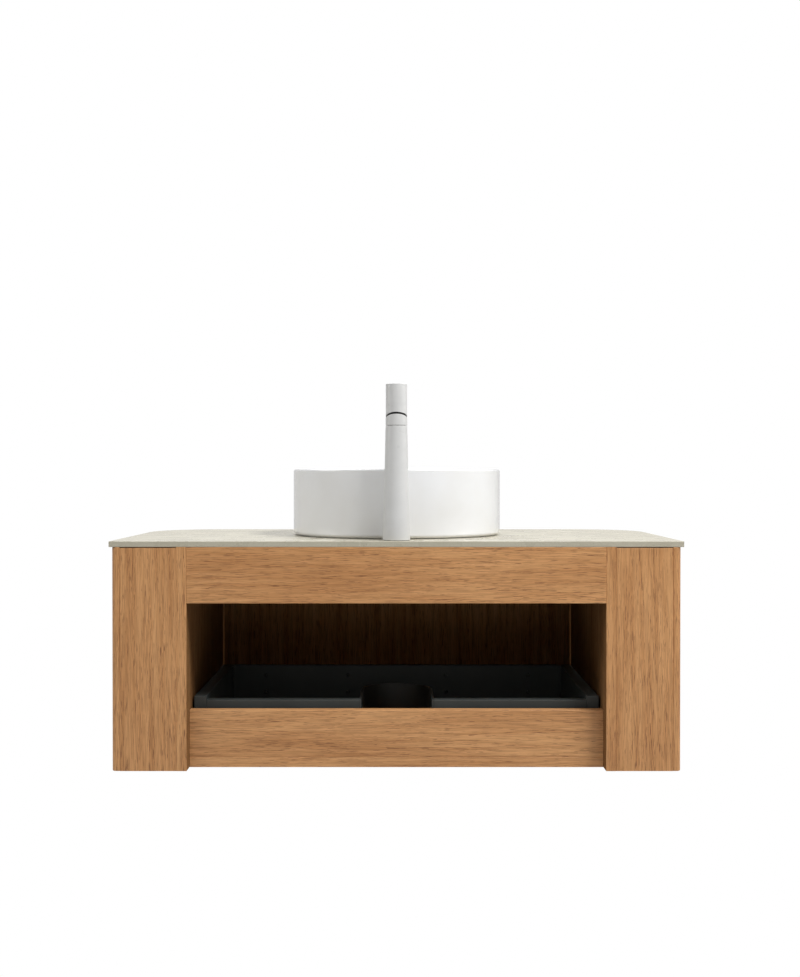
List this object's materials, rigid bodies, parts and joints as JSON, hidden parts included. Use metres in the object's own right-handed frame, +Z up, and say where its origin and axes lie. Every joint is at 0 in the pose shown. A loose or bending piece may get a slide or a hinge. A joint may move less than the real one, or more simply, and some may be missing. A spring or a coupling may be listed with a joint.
{
  "type": "wall-hung vanity with vessel basin",
  "caption": "Wall-hung oak vanity with a thin counter, a round vessel basin, a tall single-lever mixer, a pull-out drawer and a pop-up waste.",
  "frame": {"origin": "centre of the top back rail's wall face", "axes": "+Y into the wall, the room on the -Y side; +X to the right of a person who faces the vanity from the room; +Z up"},
  "size_m": [1, 0.5, 0.6755],
  "materials": {
    "oak_board": "oak decor on board, satin",
    "anthracite_board": "anthracite laminate on board, matte",
    "sintered_stone": "fine-grained sintered stone, honed",
    "glazed_ceramic": "white glazed sanitary ceramic",
    "white_lacquered_brass": "matte white lacquer on brass",
    "zinc_steel": "zinc-plated steel",
    "brass": "machined brass",
    "chromed_brass": "polished chrome plate on brass",
    "rubber": "black rubber",
    "nylon": "natural nylon",
    "beech": "fluted beech dowel",
    "silicone": "cured silicone",
    "anthracite_plastic": "anthracite plastic, fine grain",
    "orange_plastic": "orange moulded plastic",
    "dark_plastic": "black moulded plastic",
    "grey_plastic": "grey moulded plastic"
  },
  "bodies": {
    "vanity": {"countertop": "sintered_stone", "column_shell_left": "oak_board", "column_shell_right": "oak_board", "column_inner_side_left": "oak_board", "column_inner_side_right": "oak_board", "column_back_left": "oak_board", "column_back_right": "oak_board", "column_bases": "oak_board", "column_tops": "oak_board", "top_back_rail": "oak_board", "lower_back_rail": "oak_board", "bottom_board": "oak_board", "front_top_rail": "oak_board", "dowels": "beech", "carcass_screws": "zinc_steel", "runner_cabinet_left": "zinc_steel", "runner_cabinet_right": "zinc_steel", "runner_screws": "zinc_steel", "basin": "glazed_ceramic", "basin_bead": "silicone", "waste_body": "chromed_brass", "flange_seal": "rubber", "lower_seal": "rubber", "waste_nut": "brass", "click_cartridge": "nylon", "tap_base_seal": "rubber", "tap_body": "white_lacquered_brass", "base_insert": "brass", "fixing_stud": "zinc_steel", "horseshoe_pad": "rubber", "horseshoe_plate": "zinc_steel", "stud_nut": "brass", "spout": "white_lacquered_brass", "aerator": "chromed_brass", "cartridge": "nylon", "cartridge_nut": "brass"},
    "drawer": {"drawer_side_left": "anthracite_board", "drawer_side_right": "anthracite_board", "drawer_back_left": "anthracite_board", "drawer_back_right": "anthracite_board", "drawer_inner_front": "anthracite_board", "drawer_floor": "anthracite_board", "siphon_surround": "anthracite_plastic", "drawer_front": "oak_board", "front_screws": "zinc_steel", "runner_drawer_left": "zinc_steel", "runner_drawer_right": "zinc_steel", "locking_clips": "orange_plastic"},
    "runner_middles": {"runner_middle_left": "zinc_steel", "runner_middle_right": "zinc_steel", "runner_rollers": "nylon"},
    "tap_turn": {"tap_collar": "white_lacquered_brass", "dome_cap": "dark_plastic", "cartridge_rotor": "nylon"},
    "tap_lever": {"tap_handle": "white_lacquered_brass", "lever_stem": "zinc_steel", "grub_screw": "zinc_steel", "index_plug": "grey_plastic"},
    "plug": {"waste_plug": "white_lacquered_brass", "plug_seal": "rubber"}
  },
  "joints": [
    {"name": "drawer_slide", "type": "slide", "parent": "vanity", "child": "drawer", "axis": [0, -1, 0], "range_m": [0, 0.35]},
    {"name": "middle_slide", "type": "slide", "parent": "vanity", "child": "runner_middles", "axis": [0, -1, 0], "range_m": [0, 0.175]},
    {"name": "handle_turn", "type": "hinge", "parent": "vanity", "child": "tap_turn", "pos_m": [0, -0.0385, 0.268], "axis": [0, 0, 1], "range_deg": [-45, 45]},
    {"name": "handle_tilt", "type": "hinge", "parent": "tap_turn", "child": "tap_lever", "pos_m": [0, -0.0385, 0.268], "axis": [1, 0, 0], "range_deg": [0, 22]},
    {"name": "plug_lift", "type": "slide", "parent": "vanity", "child": "plug", "axis": [0, 0, 1], "range_m": [0, 0.01]}
  ],
  "couplings": [
    {"joint": "middle_slide", "follows": "drawer_slide", "ratio": 0.5}
  ]
}
